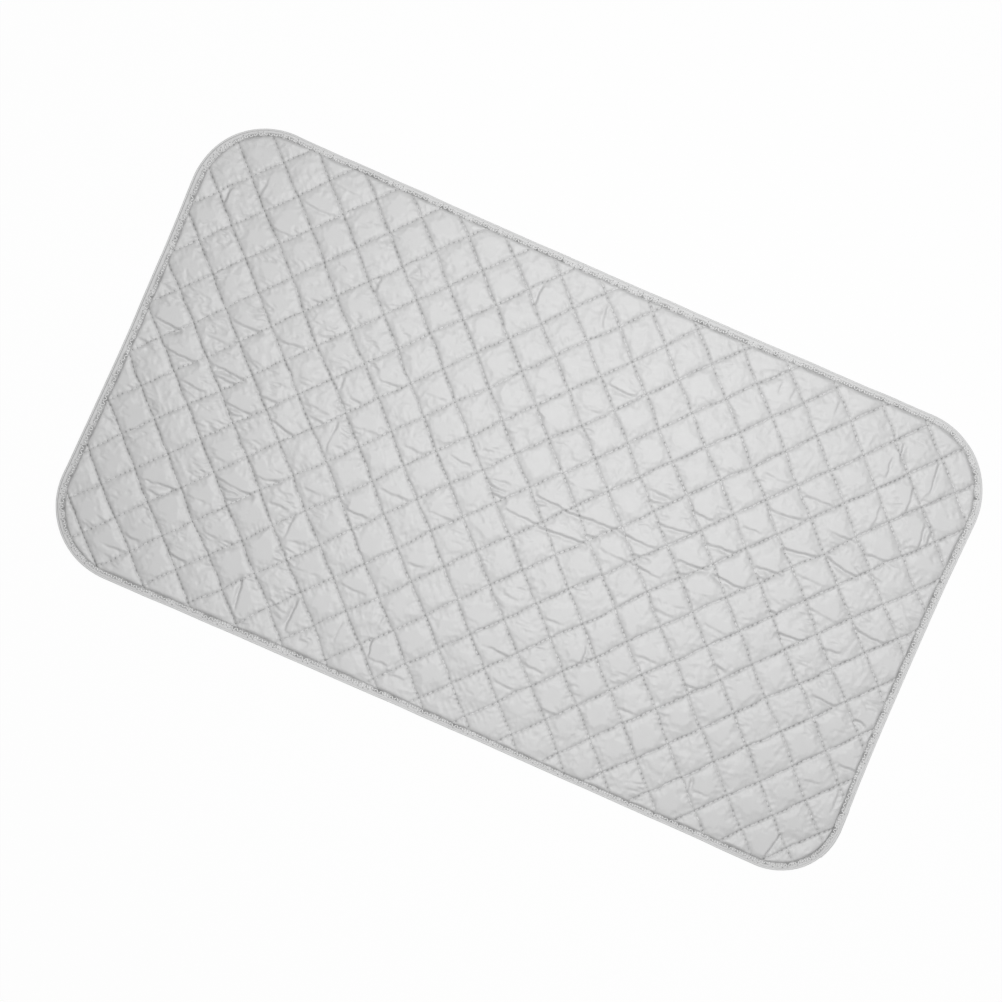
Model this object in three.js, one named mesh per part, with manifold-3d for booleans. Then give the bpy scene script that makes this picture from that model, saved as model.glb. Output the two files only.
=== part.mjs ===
// A quilted ironing pad, laid flat: a silver-coated face cloth, a wadding core and a backing cloth,
// sewn into diamonds by two families of stitched rows and bound all round with a folded tape.
// Millimetres, +Z up. X runs along the pad, Y across it, and the pad lies on the plane z = 0.

import * as THREE from 'three';
import { mergeVertices } from 'three/addons/utils/BufferGeometryUtils.js';
import Module from 'manifold-3d';

// Outline of the pad, with round corners.
const PAD_LENGTH = 850;
const PAD_WIDTH = 480;
const CORNER_RADIUS = 70;
const CORNER_STEPS = 10;

// The three layers. Along a stitched row the wadding is squeezed to its sewn thickness,
// and in the middle of a diamond the cloths stand off from that by their puff.
const FACE_CLOTH_THICKNESS = 0.3;
const BACKING_CLOTH_THICKNESS = 0.3;
const WADDING_SEWN_THICKNESS = 0.6;
const FACE_PUFF = 2.2;
const BACKING_PUFF = 1.9;

// The stitched rows. Falling rows run down to the right and rising rows run up to the right.
// An angle is measured from X in degrees, and an offset from the pad's centre, square to the rows.
const FALLING_ANGLE = -44.75;
const FALLING_PITCH = 35.85;
const FALLING_OFFSET = 11.85;
const RISING_ANGLE = 48.25;
const RISING_PITCH = 36.2;
const RISING_OFFSET = 4.5;
const THREAD_THICKNESS = 0.4;
const SHORTEST_ROW = 40;

// The binding: a tape folded over the edge, with a full rim at the fold and two flat legs
// that a zigzag seam holds down. Its two ends meet on the right-hand side, above the corner.
const TAPE_THICKNESS = 0.4;
const BINDING_WIDTH = 8.5;
const RIM_WIDTH = 3;
const RIM_SHOULDER = 0.8;
const FOLD_RADIUS = 1.2;
const SEAM_WIDTH = 3.5;
const SEAM_TO_TAPE_EDGE = 0.4;
const JOIN_TO_CORNER = 15;
const JOIN_GAP = 0.3;

// Gap between pieces that lie against each other.
const CLEARANCE = 0.1;

// Colours and finish of the cloths and threads.
const FINISHES = {
  silverCloth: { color: 0xcdcdcd, roughness: 0.45, metalness: 0.35 },
  wadding: { color: 0xf1f0ec, roughness: 0.95, metalness: 0 },
  backingCloth: { color: 0xd9d9d7, roughness: 0.9, metalness: 0 },
  bindingTape: { color: 0xd2d2d2, roughness: 0.7, metalness: 0.1 },
  thread: { color: 0xc4c4c4, roughness: 0.6, metalness: 0 },
};

const wasm = await Module();
wasm.setup();

// Height of each piece on one side of the pad, outward from the middle of the wadding,
// where the layers are sewn flat. Rising rows cross over falling rows.
function sewnLevels(clothThickness) {
  const wadding = WADDING_SEWN_THICKNESS / 2;
  const clothIn = wadding + CLEARANCE;
  const clothOut = clothIn + clothThickness;
  const fallingIn = clothOut + CLEARANCE;
  const fallingOut = fallingIn + THREAD_THICKNESS;
  const risingIn = fallingOut + CLEARANCE;
  const risingOut = risingIn + THREAD_THICKNESS;
  const tapeIn = risingOut + CLEARANCE;
  const tapeOut = tapeIn + TAPE_THICKNESS;
  const seamIn = tapeOut + CLEARANCE;
  const seamOut = seamIn + THREAD_THICKNESS;
  return {
    wadding, clothIn, clothOut, fallingIn, fallingOut, risingIn, risingOut,
    tapeIn, tapeOut, seamIn, seamOut,
  };
}

const face = sewnLevels(FACE_CLOTH_THICKNESS);
const back = sewnLevels(BACKING_CLOTH_THICKNESS);

// The pad lies on its rim, or on its puffs where they reach lower.
const middleHeight = Math.max(back.seamOut, back.clothOut + BACKING_PUFF);

// Insets from the pad's edge, from the fold inward. Every row's thread turns over the edge of the
// layers inside the fold, and stands askew there, so its corners reach half a thread further.
const turnSlack = THREAD_THICKNESS / 2 + CLEARANCE;
const risingTurnOut = TAPE_THICKNESS + turnSlack;
const risingTurnIn = risingTurnOut + THREAD_THICKNESS;
const fallingTurnOut = risingTurnIn + turnSlack + THREAD_THICKNESS / 2;
const fallingTurnIn = fallingTurnOut + THREAD_THICKNESS;
const layersInset = fallingTurnIn + turnSlack;

const cornerX = PAD_LENGTH / 2 - CORNER_RADIUS;
const cornerY = PAD_WIDTH / 2 - CORNER_RADIUS;

// Places along the pad's edge, anticlockwise from the right-hand end of the first corner,
// each with the direction that faces away from the pad.
function cornerStations() {
  const corners = [[1, 1], [-1, 1], [-1, -1], [1, -1]];
  return corners.flatMap(([sideX, sideY], quarter) =>
    Array.from({ length: CORNER_STEPS + 1 }, (_, step) => {
      const turn = (quarter + step / CORNER_STEPS) * Math.PI / 2;
      const outward = new THREE.Vector2(Math.cos(turn), Math.sin(turn));
      const centre = new THREE.Vector2(sideX * cornerX, sideY * cornerY);
      return { point: centre.addScaledVector(outward, CORNER_RADIUS), outward };
    }));
}

function padOutline(inset) {
  return cornerStations().map(({ point, outward }) => point.addScaledVector(outward, -inset));
}

// How far a point lies in from the pad's edge.
function insetOf(point) {
  const x = Math.abs(point.x) - cornerX;
  const y = Math.abs(point.y) - cornerY;
  const reach = x > 0 && y > 0 ? Math.hypot(x, y) : Math.max(x, y);
  return CORNER_RADIUS - reach;
}

function rowFamily(angle, pitch, offset) {
  const turn = THREE.MathUtils.degToRad(angle);
  const along = new THREE.Vector2(Math.cos(turn), Math.sin(turn));
  const across = new THREE.Vector2(-Math.sin(turn), Math.cos(turn));
  const reach = Math.hypot(PAD_LENGTH, PAD_WIDTH) / 2 + pitch;
  const first = Math.ceil((-reach - offset) / pitch);
  const last = Math.floor((reach - offset) / pitch);
  const distances = Array.from({ length: last - first + 1 }, (_, k) => offset + (first + k) * pitch);
  return { turn, along, across, distances };
}

const falling = rowFamily(FALLING_ANGLE, FALLING_PITCH, FALLING_OFFSET);
const rising = rowFamily(RISING_ANGLE, RISING_PITCH, RISING_OFFSET);

// Where a falling row meets a rising row.
function crossing(i, j) {
  const determinant = falling.across.cross(rising.across);
  const a = falling.distances[i];
  const b = rising.distances[j];
  return new THREE.Vector2(
    (a * rising.across.y - b * falling.across.y) / determinant,
    (b * falling.across.x - a * rising.across.x) / determinant,
  );
}

function indexedGeometry(positions, triangles) {
  const geometry = new THREE.BufferGeometry();
  geometry.setAttribute('position', new THREE.Float32BufferAttribute(positions, 3));
  geometry.setIndex(triangles);
  geometry.computeVertexNormals();
  return geometry;
}

function toSolid(geometry) {
  const bare = geometry.clone();
  bare.deleteAttribute('normal');
  bare.deleteAttribute('uv');
  const merged = mergeVertices(bare);
  return new wasm.Manifold(new wasm.Mesh({
    numProp: 3,
    vertProperties: new Float32Array(merged.attributes.position.array),
    triVerts: new Uint32Array(merged.index.array),
  }));
}

function toGeometry(solid) {
  const mesh = solid.getMesh();
  return indexedGeometry(Array.from(mesh.vertProperties), Array.from(mesh.triVerts));
}

// A sheet over the whole grid of rows. Each diamond that lies inside the binding rises to a crown
// in its middle, and the rest stay flat. low and high give the sheet's two faces for a point on a
// row, 0, or on a crown, 1.
function quiltedSheet(low, high) {
  const columns = falling.distances.length;
  const lines = rising.distances.length;
  const plan = [];
  const shares = [];
  const triangles = [];
  const at = (i, j) => i * lines + j;
  for (let i = 0; i < columns; i++) {
    for (let j = 0; j < lines; j++) {
      plan.push(crossing(i, j));
      shares.push(0);
    }
  }
  for (let i = 0; i + 1 < columns; i++) {
    for (let j = 0; j + 1 < lines; j++) {
      const ring = [at(i, j), at(i + 1, j), at(i + 1, j + 1), at(i, j + 1)];
      if (ring.every((k) => insetOf(plan[k]) > BINDING_WIDTH)) {
        const crown = plan.length;
        const middle = new THREE.Vector2();
        ring.forEach((k) => middle.addScaledVector(plan[k], 1 / ring.length));
        plan.push(middle);
        shares.push(1);
        ring.forEach((k, n) => triangles.push([k, ring[(n + 1) % ring.length], crown]));
      } else {
        triangles.push([ring[0], ring[1], ring[2]], [ring[0], ring[2], ring[3]]);
      }
    }
  }

  const border = [];
  for (let i = 0; i + 1 < columns; i++) border.push(at(i, 0));
  for (let j = 0; j + 1 < lines; j++) border.push(at(columns - 1, j));
  for (let i = columns - 1; i > 0; i--) border.push(at(i, lines - 1));
  for (let j = lines - 1; j > 0; j--) border.push(at(0, j));

  const count = plan.length;
  const positions = [
    ...plan.flatMap((point, k) => [point.x, point.y, high(shares[k])]),
    ...plan.flatMap((point, k) => [point.x, point.y, low(shares[k])]),
  ];
  const faces = triangles.flatMap(([a, b, c]) => [a, b, c, count + c, count + b, count + a]);
  border.forEach((a, k) => {
    const b = border[(k + 1) % border.length];
    faces.push(count + a, count + b, b, count + a, b, a);
  });
  return indexedGeometry(positions, faces);
}

// A quilted sheet cut to the outline of the layers.
function quiltedLayer(low, high) {
  const above = Math.max(high(0), high(1)) + CLEARANCE;
  const below = Math.min(low(0), low(1)) - CLEARANCE;
  const cutter = new THREE.ExtrudeGeometry(new THREE.Shape(padOutline(layersInset)), {
    depth: above - below,
    bevelEnabled: false,
  });
  cutter.translate(0, 0, below);
  return toGeometry(toSolid(quiltedSheet(low, high)).intersect(toSolid(cutter)));
}

const onFace = (level) => (share) => level + FACE_PUFF * share;
const onBack = (level) => (share) => -level - BACKING_PUFF * share;

// A strip that runs round the pad from one side of the tape's join to the other. Its section is a
// closed anticlockwise outline, with the inset from the pad's edge as x and the height as y.
function stripRoundPad(section) {
  const joinY = JOIN_TO_CORNER - cornerY;
  const atJoin = (y) => ({
    point: new THREE.Vector2(PAD_LENGTH / 2, y),
    outward: new THREE.Vector2(1, 0),
  });
  const stations = [
    atJoin(joinY + JOIN_GAP / 2),
    ...cornerStations(),
    atJoin(joinY - JOIN_GAP / 2),
  ];
  const size = section.length;
  const positions = stations.flatMap(({ point, outward }) => section.flatMap(({ x, y }) => [
    point.x - outward.x * x,
    point.y - outward.y * x,
    y,
  ]));
  const triangles = [];
  for (let s = 0; s + 1 < stations.length; s++) {
    for (let k = 0; k < size; k++) {
      const a = s * size + k;
      const b = s * size + (k + 1) % size;
      triangles.push(a, b, b + size, a, b + size, a + size);
    }
  }
  const lastStation = (stations.length - 1) * size;
  for (const [a, b, c] of THREE.ShapeUtils.triangulateShape(section, [])) {
    triangles.push(c, b, a, lastStation + a, lastStation + b, lastStation + c);
  }
  return indexedGeometry(positions, triangles);
}

// One half of the tape's wall, from the leg's inner edge to the fold, at a depth in the tape:
// 0 is its outside and the tape's thickness is its inside.
function tapeWall(levels, depth) {
  const leg = levels.tapeOut - depth;
  const rim = levels.seamOut - depth;
  const fold = levels.seamOut - FOLD_RADIUS;
  const bend = (FOLD_RADIUS - depth) * Math.SQRT1_2;
  return [
    new THREE.Vector2(BINDING_WIDTH, leg),
    new THREE.Vector2(RIM_WIDTH + RIM_SHOULDER - depth / 2, leg),
    new THREE.Vector2(RIM_WIDTH - depth / 2, rim),
    new THREE.Vector2(FOLD_RADIUS, rim),
    new THREE.Vector2(FOLD_RADIUS - bend, fold + bend),
    new THREE.Vector2(depth, fold),
  ];
}

const downward = ({ x, y }) => new THREE.Vector2(x, -y);

function bindingSection() {
  const outside = [...tapeWall(face, 0), ...tapeWall(back, 0).map(downward).reverse()];
  const inside = [
    ...tapeWall(face, TAPE_THICKNESS),
    ...tapeWall(back, TAPE_THICKNESS).map(downward).reverse(),
  ];
  return [...outside, ...inside.reverse()];
}

function seamSection(low, high) {
  const inner = BINDING_WIDTH - SEAM_TO_TAPE_EDGE;
  const outer = inner - SEAM_WIDTH;
  return [[outer, low], [inner, low], [inner, high], [outer, high]]
    .map(([x, y]) => new THREE.Vector2(x, y));
}

// The stretch of a row's line, measured along it, that lies inside an outline.
function stretchInside(base, along, outline) {
  let start = -Infinity;
  let end = Infinity;
  outline.forEach((corner, k) => {
    const next = outline[(k + 1) % outline.length];
    const outward = new THREE.Vector2(next.y - corner.y, corner.x - next.x);
    const approach = outward.dot(along);
    const distance = outward.dot(corner.clone().sub(base)) / approach;
    if (approach > 0) end = Math.min(end, distance);
    if (approach < 0) start = Math.max(start, distance);
  });
  return { start, end, length: end - start };
}

// One row's thread: its run on the face and its run on the back, which turn over the edge of the
// layers inside the binding. Its outline stands upright, with the row's line as x and height as y.
function rowThreadGeometry(outside, inside, faceLevels, backLevels) {
  const frameOf = (stretch, top, bottom) => [
    new THREE.Vector2(stretch.start, -bottom),
    new THREE.Vector2(stretch.end, -bottom),
    new THREE.Vector2(stretch.end, top),
    new THREE.Vector2(stretch.start, top),
  ];
  const shape = new THREE.Shape(frameOf(outside, faceLevels.high, backLevels.high));
  shape.holes.push(new THREE.Path(frameOf(inside, faceLevels.low, backLevels.low).reverse()));
  const geometry = new THREE.ExtrudeGeometry(shape, { depth: THREAD_THICKNESS, bevelEnabled: false });
  geometry.translate(0, 0, -THREAD_THICKNESS / 2);
  return geometry;
}

const pad = new THREE.Group();
pad.name = 'ironing_pad';
pad.position.z = middleHeight;

function addPiece(name, geometry, finish) {
  const piece = new THREE.Mesh(geometry, new THREE.MeshStandardMaterial(finish));
  piece.name = name;
  pad.add(piece);
  return piece;
}

function addRowThreads(letter, family, turnOut, turnIn, faceLevels, backLevels) {
  let number = 0;
  for (const distance of family.distances) {
    const base = family.across.clone().multiplyScalar(distance);
    const stretch = (inset) => stretchInside(base, family.along, padOutline(inset));
    if (stretch(BINDING_WIDTH).length < SHORTEST_ROW) continue;
    number += 1;
    const thread = addPiece(
      `quilting_thread_${letter}${String(number).padStart(2, '0')}`,
      rowThreadGeometry(stretch(turnOut), stretch(turnIn), faceLevels, backLevels),
      FINISHES.thread,
    );
    thread.position.set(base.x, base.y, 0);
    thread.rotation.set(Math.PI / 2, 0, family.turn, 'ZYX');
  }
}

addPiece('face_cloth', quiltedLayer(onFace(face.clothIn), onFace(face.clothOut)), FINISHES.silverCloth);
addPiece('wadding', quiltedLayer(onBack(back.wadding), onFace(face.wadding)), FINISHES.wadding);
addPiece(
  'backing_cloth',
  quiltedLayer(onBack(back.clothOut), onBack(back.clothIn)),
  FINISHES.backingCloth,
);
addPiece('edge_binding', stripRoundPad(bindingSection()), FINISHES.bindingTape);
addPiece('binding_seam_face', stripRoundPad(seamSection(face.seamIn, face.seamOut)), FINISHES.thread);
addPiece('binding_seam_back', stripRoundPad(seamSection(-back.seamOut, -back.seamIn)), FINISHES.thread);
addRowThreads(
  'a', falling, fallingTurnOut, fallingTurnIn,
  { low: face.fallingIn, high: face.fallingOut },
  { low: back.fallingIn, high: back.fallingOut },
);
addRowThreads(
  'b', rising, risingTurnOut, risingTurnIn,
  { low: face.risingIn, high: face.risingOut },
  { low: back.risingIn, high: back.risingOut },
);

export default pad;
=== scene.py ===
"""Dresses a quilted ironing pad: two quilted cloths, wadding, a bound edge and every stitch of thread.

All lengths are in metres. Heights of the layers are counted outward from the pad's mid-plane.
"""

import functools
import math

import bpy
import numpy as np
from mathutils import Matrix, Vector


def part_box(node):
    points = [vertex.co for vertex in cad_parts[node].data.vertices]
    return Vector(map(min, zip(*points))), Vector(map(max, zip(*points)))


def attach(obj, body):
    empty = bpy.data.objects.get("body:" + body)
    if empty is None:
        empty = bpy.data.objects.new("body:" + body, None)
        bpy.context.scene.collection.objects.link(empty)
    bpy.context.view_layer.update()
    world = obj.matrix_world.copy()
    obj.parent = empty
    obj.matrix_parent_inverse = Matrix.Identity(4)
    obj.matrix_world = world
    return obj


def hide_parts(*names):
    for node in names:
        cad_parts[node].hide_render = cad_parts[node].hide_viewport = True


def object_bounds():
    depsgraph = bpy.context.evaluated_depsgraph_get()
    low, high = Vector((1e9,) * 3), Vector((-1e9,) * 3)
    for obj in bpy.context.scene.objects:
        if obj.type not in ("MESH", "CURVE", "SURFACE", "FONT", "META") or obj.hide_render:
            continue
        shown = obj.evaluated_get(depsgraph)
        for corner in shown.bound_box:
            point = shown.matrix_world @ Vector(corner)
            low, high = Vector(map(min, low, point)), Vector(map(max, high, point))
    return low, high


bl_info = {
    "name": "Quilted ironing pad",
    "version": (1, 0, 0),
    "blender": (4, 5, 0),
    "location": "View3D > Sidebar > Ironing pad",
    "description": "Makes the cloths, wadding, bound edge and stitches of a quilted ironing pad",
    "category": "Object",
}

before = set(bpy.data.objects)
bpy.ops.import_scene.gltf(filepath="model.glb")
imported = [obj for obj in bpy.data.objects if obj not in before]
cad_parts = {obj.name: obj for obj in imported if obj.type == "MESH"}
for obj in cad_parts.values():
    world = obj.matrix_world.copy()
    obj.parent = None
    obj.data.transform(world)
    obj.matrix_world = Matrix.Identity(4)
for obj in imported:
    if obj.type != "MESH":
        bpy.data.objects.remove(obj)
CAD_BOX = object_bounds()
CAD_SIZE = CAD_BOX[1] - CAD_BOX[0]
RIM_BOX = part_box("edge_binding")
LAYER_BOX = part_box("face_cloth")

MM = 0.001
BODY = "root"

# Points of the lattice for each stitch and cell, while the cloth relaxes and in the finished mesh.
STITCHES_A_CELL = 7
RELAX_STEPS = 3 * STITCHES_A_CELL
FACE_STEPS = 5 * STITCHES_A_CELL
BACK_STEPS = 2 * STITCHES_A_CELL
WADDING_STEPS = STITCHES_A_CELL
CELLS_EACH_WAY = 13

# Fold lines pressed into the face cloth: middle x and y, length and depth in millimetres,
# and lean in degrees from the pad's long side.
CREASES = [
    (28, 8.6, 30, -1, 0.9), (58, 7.4, 34, 3, 0.9), (88, 8.6, 36, 3, 0.9), (124, 8.7, 42, 0, 0.9),
    (10, -16.5, 40, -4, 0.8), (54, -17.5, 56, 4, 1.0), (-22, 8, 20, 6, 0.5), (-24, -0.4, 20, -2, 0.7),
    (-20, -6.8, 20, -2, 0.8), (23, 2, 22, 8, 0.4), (81, -7, 20, 10, 0.6), (92, 3.6, 12, 14, 0.5),
    (133, -6, 26, 5, 0.5), (120, -15.5, 60, -2, 0.4), (128, 60, 28, 0, 0.5), (124, 50.5, 16, 6, 0.5),
    (154, 34, 42, 8, 0.9), (174, 57, 26, -2, 0.7), (204, 35.5, 38, 8, 0.9), (186, 8, 34, 4, 1.0),
    (218, 8, 26, 0, 0.9), (177, -5, 18, 2, 0.5), (146, -16, 32, -3, 0.6), (196, -16, 30, 4, 0.4),
    (184, -36, 24, 6, 0.35), (176, -48, 26, 0, 0.35), (54, 35, 36, 4, 0.35), (51, 139, 30, 0, 0.9),
    (-316, 47.6, 36, 0, 0.7), (-270, 49, 28, 5, 0.7), (-217, 55, 18, 6, 0.4), (-390, 18, 32, -3, 1.1),
    (-364, -5.4, 38, -3, 0.9), (-316, -2, 42, -2, 0.9), (-315, -10.2, 28, -2, 0.7),
    (-268, -10.5, 22, 0, 0.8), (-343, -28.6, 30, -2, 0.7), (-292, -31.6, 30, -2, 0.9),
    (-294, -38, 18, 4, 0.7), (-242, -31.5, 28, -15, 0.8), (-340, 23, 26, -6, 0.4), (-222, 0, 32, 0, 0.4),
    (-404, -7, 18, -5, 0.7), (-215, -10.6, 22, -2, 0.5), (250, 91.5, 38, 5, 0.8), (311, 94, 34, -2, 0.7),
    (351, 88, 26, 4, 0.7), (278, 62, 40, 8, 1.1), (323, 66, 40, -10, 1.1), (258, 33, 30, 4, 0.9),
    (212, 34.5, 20, -4, 0.7), (227, 7, 34, -2, 0.9), (251, 24, 16, -4, 0.5), (277, -3, 12, -8, 0.7),
    (303, -18.5, 34, 8, 1.1), (301, 22, 12, 8, 0.6), (345, -15, 22, 10, 0.7), (375, 14, 36, -4, 0.9),
    (327, 14, 34, -4, 0.4), (226, 64, 22, 0, 0.6), (232, -42, 28, -4, 0.5), (300, 41, 32, 0, 0.35),
    (277, 117, 40, 0, 0.6), (227, 121, 28, 0, 0.4), (-300, 183, 34, -5, 0.6), (-280, 211.5, 36, 0, 0.3),
    (-325, 148, 30, -4, 0.5), (-164, 52, 24, 5, 0.6), (-116, 59, 24, 2, 0.35), (-188, 23, 14, 0, 0.5),
    (-68, 10, 26, -6, 0.6), (-115, 1, 26, 0, 0.35), (-115, -47, 32, -2, 0.55), (-63, -48, 30, 1, 0.6),
    (-15, 84.5, 12, 0, 0.6), (-162, 0.5, 28, 0, 0.3), (-237, -83.6, 28, 10, 0.7),
    (-264, -104, 44, -3, 1.0), (-266, -111, 24, -4, 0.7), (-216, -104, 22, 0, 0.7),
    (-332, -132, 46, 5, 0.7), (-337, -142, 18, -4, 0.6), (-292, -130, 28, 0, 0.5),
    (-289, -191.6, 22, -3, 0.9), (-352, -207.6, 30, -2, 0.6), (-338, -192, 18, -6, 0.6),
    (-142, -79.6, 26, 0, 0.9), (-192, -77, 20, 4, 0.35), (-68, -103, 18, 5, 0.6),
    (-115, -150, 30, -2, 0.6), (-165, -152.6, 24, 4, 0.4), (-63, -206, 24, 0, 0.6),
    (41, -149, 36, -3, 0.7), (80, -150, 26, -5, 0.5), (82, -99, 22, 8, 0.6), (61, -177.4, 28, -4, 0.5),
    (113, -184.4, 22, 3, 0.5), (32, -94, 18, 0, 0.4), (181, -97, 26, 2, 0.4), (185, -152, 22, 4, 0.4),
    (360, -63, 30, -5, 1.0), (402, -68.4, 14, -10, 1.0), (409, -115, 22, 0, 1.0),
    (284, -196.6, 18, 3, 0.6), (381, -142, 18, 10, 0.4), (231, -104, 16, 6, 0.6), (251, -75, 16, -4, 0.5),
    (-387, 159, 20, -96, 0.8), (-357, 183, 34, -96, 0.4), (-63, 192, 24, -92, 0.8),
    (5, 200, 26, 100, 0.4), (331, 194, 22, 104, 0.8), (325, 176, 22, 96, 0.6), (370, 184, 34, 96, 0.9),
    (357, 155, 34, 96, 0.6), (382, 126, 26, 98, 0.9), (390, 127, 20, 90, 0.5), (333, 124, 26, 90, 0.35),
    (253, 207, 18, 92, 0.4), (193, 204, 16, 88, 0.5), (207, 204, 14, 84, 0.4), (-195, -19, 36, -90, 0.6),
    (-207, 32, 18, -84, 0.4), (-217, -199, 38, -78, 1.1), (-198, -119, 26, -92, 0.6),
    (-160.5, -198, 38, -89, 1), (-111, -195, 24, -90, 0.5), (-75.5, -197, 20, -80, 1),
    (-77, -167, 20, -90, 0.35), (121, -118, 18, 98, 0.8), (370, -216, 30, 80, 1.0),
    (270, -194, 16, 104, 0.7), (-214, 138, 18, -86, 0.5), (409, -152, 28, 92, 0.4),
]

# Where the binding is wider or narrower along the long sides: middle x, side, reach and extra width,
# in millimetres.
TAPE_SWELLS = [(100, 1, 140, 1.5), (-150, -1, 130, 1.2), (150, -1, 110, -1.4)]


def length(name, description, default):
    """A length in metres that a user can change."""
    return bpy.props.FloatProperty(
        name=name, description=description, default=default, min=0.0, precision=5, unit="LENGTH"
    )


def share(name, description, default):
    """A number from 0 to 1 that a user can change."""
    return bpy.props.FloatProperty(
        name=name, description=description, default=default, min=0.0, max=1.0, subtype="FACTOR"
    )


def colour(name, description, default):
    """A colour, in linear light, that a user can change."""
    return bpy.props.FloatVectorProperty(
        name=name, description=description, default=default, size=3, min=0.0, max=1.0, subtype="COLOR"
    )


def turn(name, description, degrees):
    """An angle that a user can change."""
    return bpy.props.FloatProperty(
        name=name, description=description, default=math.radians(degrees), subtype="ANGLE", unit="ROTATION"
    )


class PadSizes(bpy.types.PropertyGroup):
    """Sizes of the pad and of its sewing."""

    pad_length: length("Pad length", "Outer length of the pad", CAD_SIZE.x)
    pad_width: length("Pad width", "Outer width of the pad", CAD_SIZE.y)
    corner_radii: bpy.props.FloatVectorProperty(
        name="Corner radii", description="Radii of the corners, clockwise from the bottom right", size=4,
        default=(67 * MM, 82 * MM, 81 * MM, 85 * MM), unit="LENGTH",
    )
    end_bow: share("Bow of the ends", "How far the ends are drawn in, as a share of the length", 0.013)
    side_bow: share("Bow of the sides", "How far the sides are drawn in, as a share of the width", 0.010)
    mid_plane: length("Mid-plane", "Height of the middle of the wadding", (RIM_BOX[0].z + RIM_BOX[1].z) / 2)
    layer_inset: length("Layer inset", "From the pad's edge to the cut edge of its cloths",
                        (CAD_SIZE.x - LAYER_BOX[1].x + LAYER_BOX[0].x) / 2)
    falling_angle: turn("Falling row angle", "Angle of the rows that fall to the right", -44.75)
    falling_pitch: length("Falling row pitch", "Distance between falling rows", 35.85 * MM)
    falling_offset: length("Falling row offset", "From the middle to the first falling row", 11.85 * MM)
    rising_angle: turn("Rising row angle", "Angle of the rows that rise to the right", 48.25)
    rising_pitch: length("Rising row pitch", "Distance between rising rows", 36.2 * MM)
    rising_offset: length("Rising row offset", "From the middle to the first rising row", 4.5 * MM)
    face_level: length("Face level", "From the mid-plane to the face cloth beside its rows", 1.75 * MM)
    back_level: length("Back level", "From the mid-plane to the backing beside its rows", 0.9 * MM)
    face_puff: length("Face puff", "How far the wadding lifts the face cloth between rows", 2.4 * MM)
    face_slack: share("Face slack", "How much more face cloth there is than lies tight", 0.002)
    back_slack: share("Back slack", "How much more backing there is than lies tight", 0.001)
    back_puff: length("Back puff", "How far the wadding pushes out the backing", 1.5 * MM)
    row_sway: length("Row sway", "How far the rows wander from straight lines", 1.2 * MM)
    thread_width: length("Thread width", "Width of the sewing thread", 0.85 * MM)
    tape_width: length("Tape width", "Width of the binding that shows along the long sides", 7.3 * MM)
    tape_extra: length("Extra tape width", "How much wider the binding is on the left end", 2.2 * MM)
    tape_thickness: length("Tape thickness", "Thickness of the binding tape", 0.4 * MM)
    join_to_corner: length("Join to corner", "From the tape's first end to the corner below it", 18 * MM)
    tape_lap: length("Tape lap", "How far the tape's last end lies over its first", 53 * MM)
    zigzag_pitch: length("Zigzag pitch", "Length of one zigzag of the binding seam", 5.4 * MM)


class PadLooks(bpy.types.PropertyGroup):
    """Colours and finishes of the pad's materials."""

    silver: colour("Silver cloth", "Colour of the coated face cloth", (0.66, 0.66, 0.66))
    silver_metal: share("Silver metal", "How metallic the coating of the face cloth is", 0.15)
    silver_roughness: share("Silver roughness", "Roughness of the coated face cloth", 0.6)
    backing: colour("Backing cloth", "Colour of the plain cloth underneath", (0.60, 0.60, 0.59))
    tape: colour("Binding tape", "Colour of the binding tape", (0.78, 0.78, 0.78))
    thread: colour("Thread", "Colour of the quilting thread", (0.92, 0.92, 0.92))
    seam_thread: colour("Seam thread", "Colour of the zigzag thread of the binding", (0.88, 0.88, 0.88))
    wadding: colour("Wadding", "Colour of the wadding", (0.80, 0.79, 0.76))


class StudioSettings(bpy.types.PropertyGroup):
    """Camera, lamp and floor of the studio."""

    camera_turn: turn("Camera turn", "How far the camera is turned about the upright axis", 23.7)
    view_width: length("View width", "Width of the ground that the picture covers", 1.0006)
    centre_right: length("Centre right", "How far right of the picture's middle the pad lies", 18.57 * MM)
    centre_up: length("Centre up", "How far above the picture's middle the pad lies", 3.6 * MM)
    lens: bpy.props.FloatProperty(name="Lens", description="Focal length", default=100, unit="CAMERA")
    lamp_power: bpy.props.FloatProperty(
        name="Lamp power", description="Power of the key lamp", default=29.0, unit="POWER"
    )
    lamp_place: bpy.props.FloatVectorProperty(
        name="Lamp place", description="Where the key lamp hangs", default=(0.09, 0.19, 1.14), size=3,
        unit="LENGTH",
    )
    lamp_size: length("Lamp size", "Radius of the round key lamp", 0.2)
    sky: share("Sky", "Strength of the even light from all round", 0.36)


def sizes_now():
    """The pad's sizes in the open scene."""
    return bpy.context.scene.pad_sizes


def looks_now():
    """The pad's colours and finishes in the open scene."""
    return bpy.context.scene.pad_looks


# Outline of the pad

def corner_radius_at(sizes, x, y):
    """Radius of the corner that each point is nearest to."""
    lower_right, lower_left, upper_left, upper_right = sizes.corner_radii
    upper = np.where(x > 0, upper_right, upper_left)
    lower = np.where(x > 0, lower_right, lower_left)
    return np.where(y > 0, upper, lower)


def bow(sizes, x, y):
    """Factors by which the sewing draws the pad's outline in or out, along x and y."""
    still = 0.1
    bow_x = 1 + sizes.end_bow * ((2 * y / sizes.pad_width) ** 2 - still)
    bow_y = 1 + sizes.side_bow * ((2 * x / sizes.pad_length) ** 2 - still)
    return bow_x, bow_y


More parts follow.
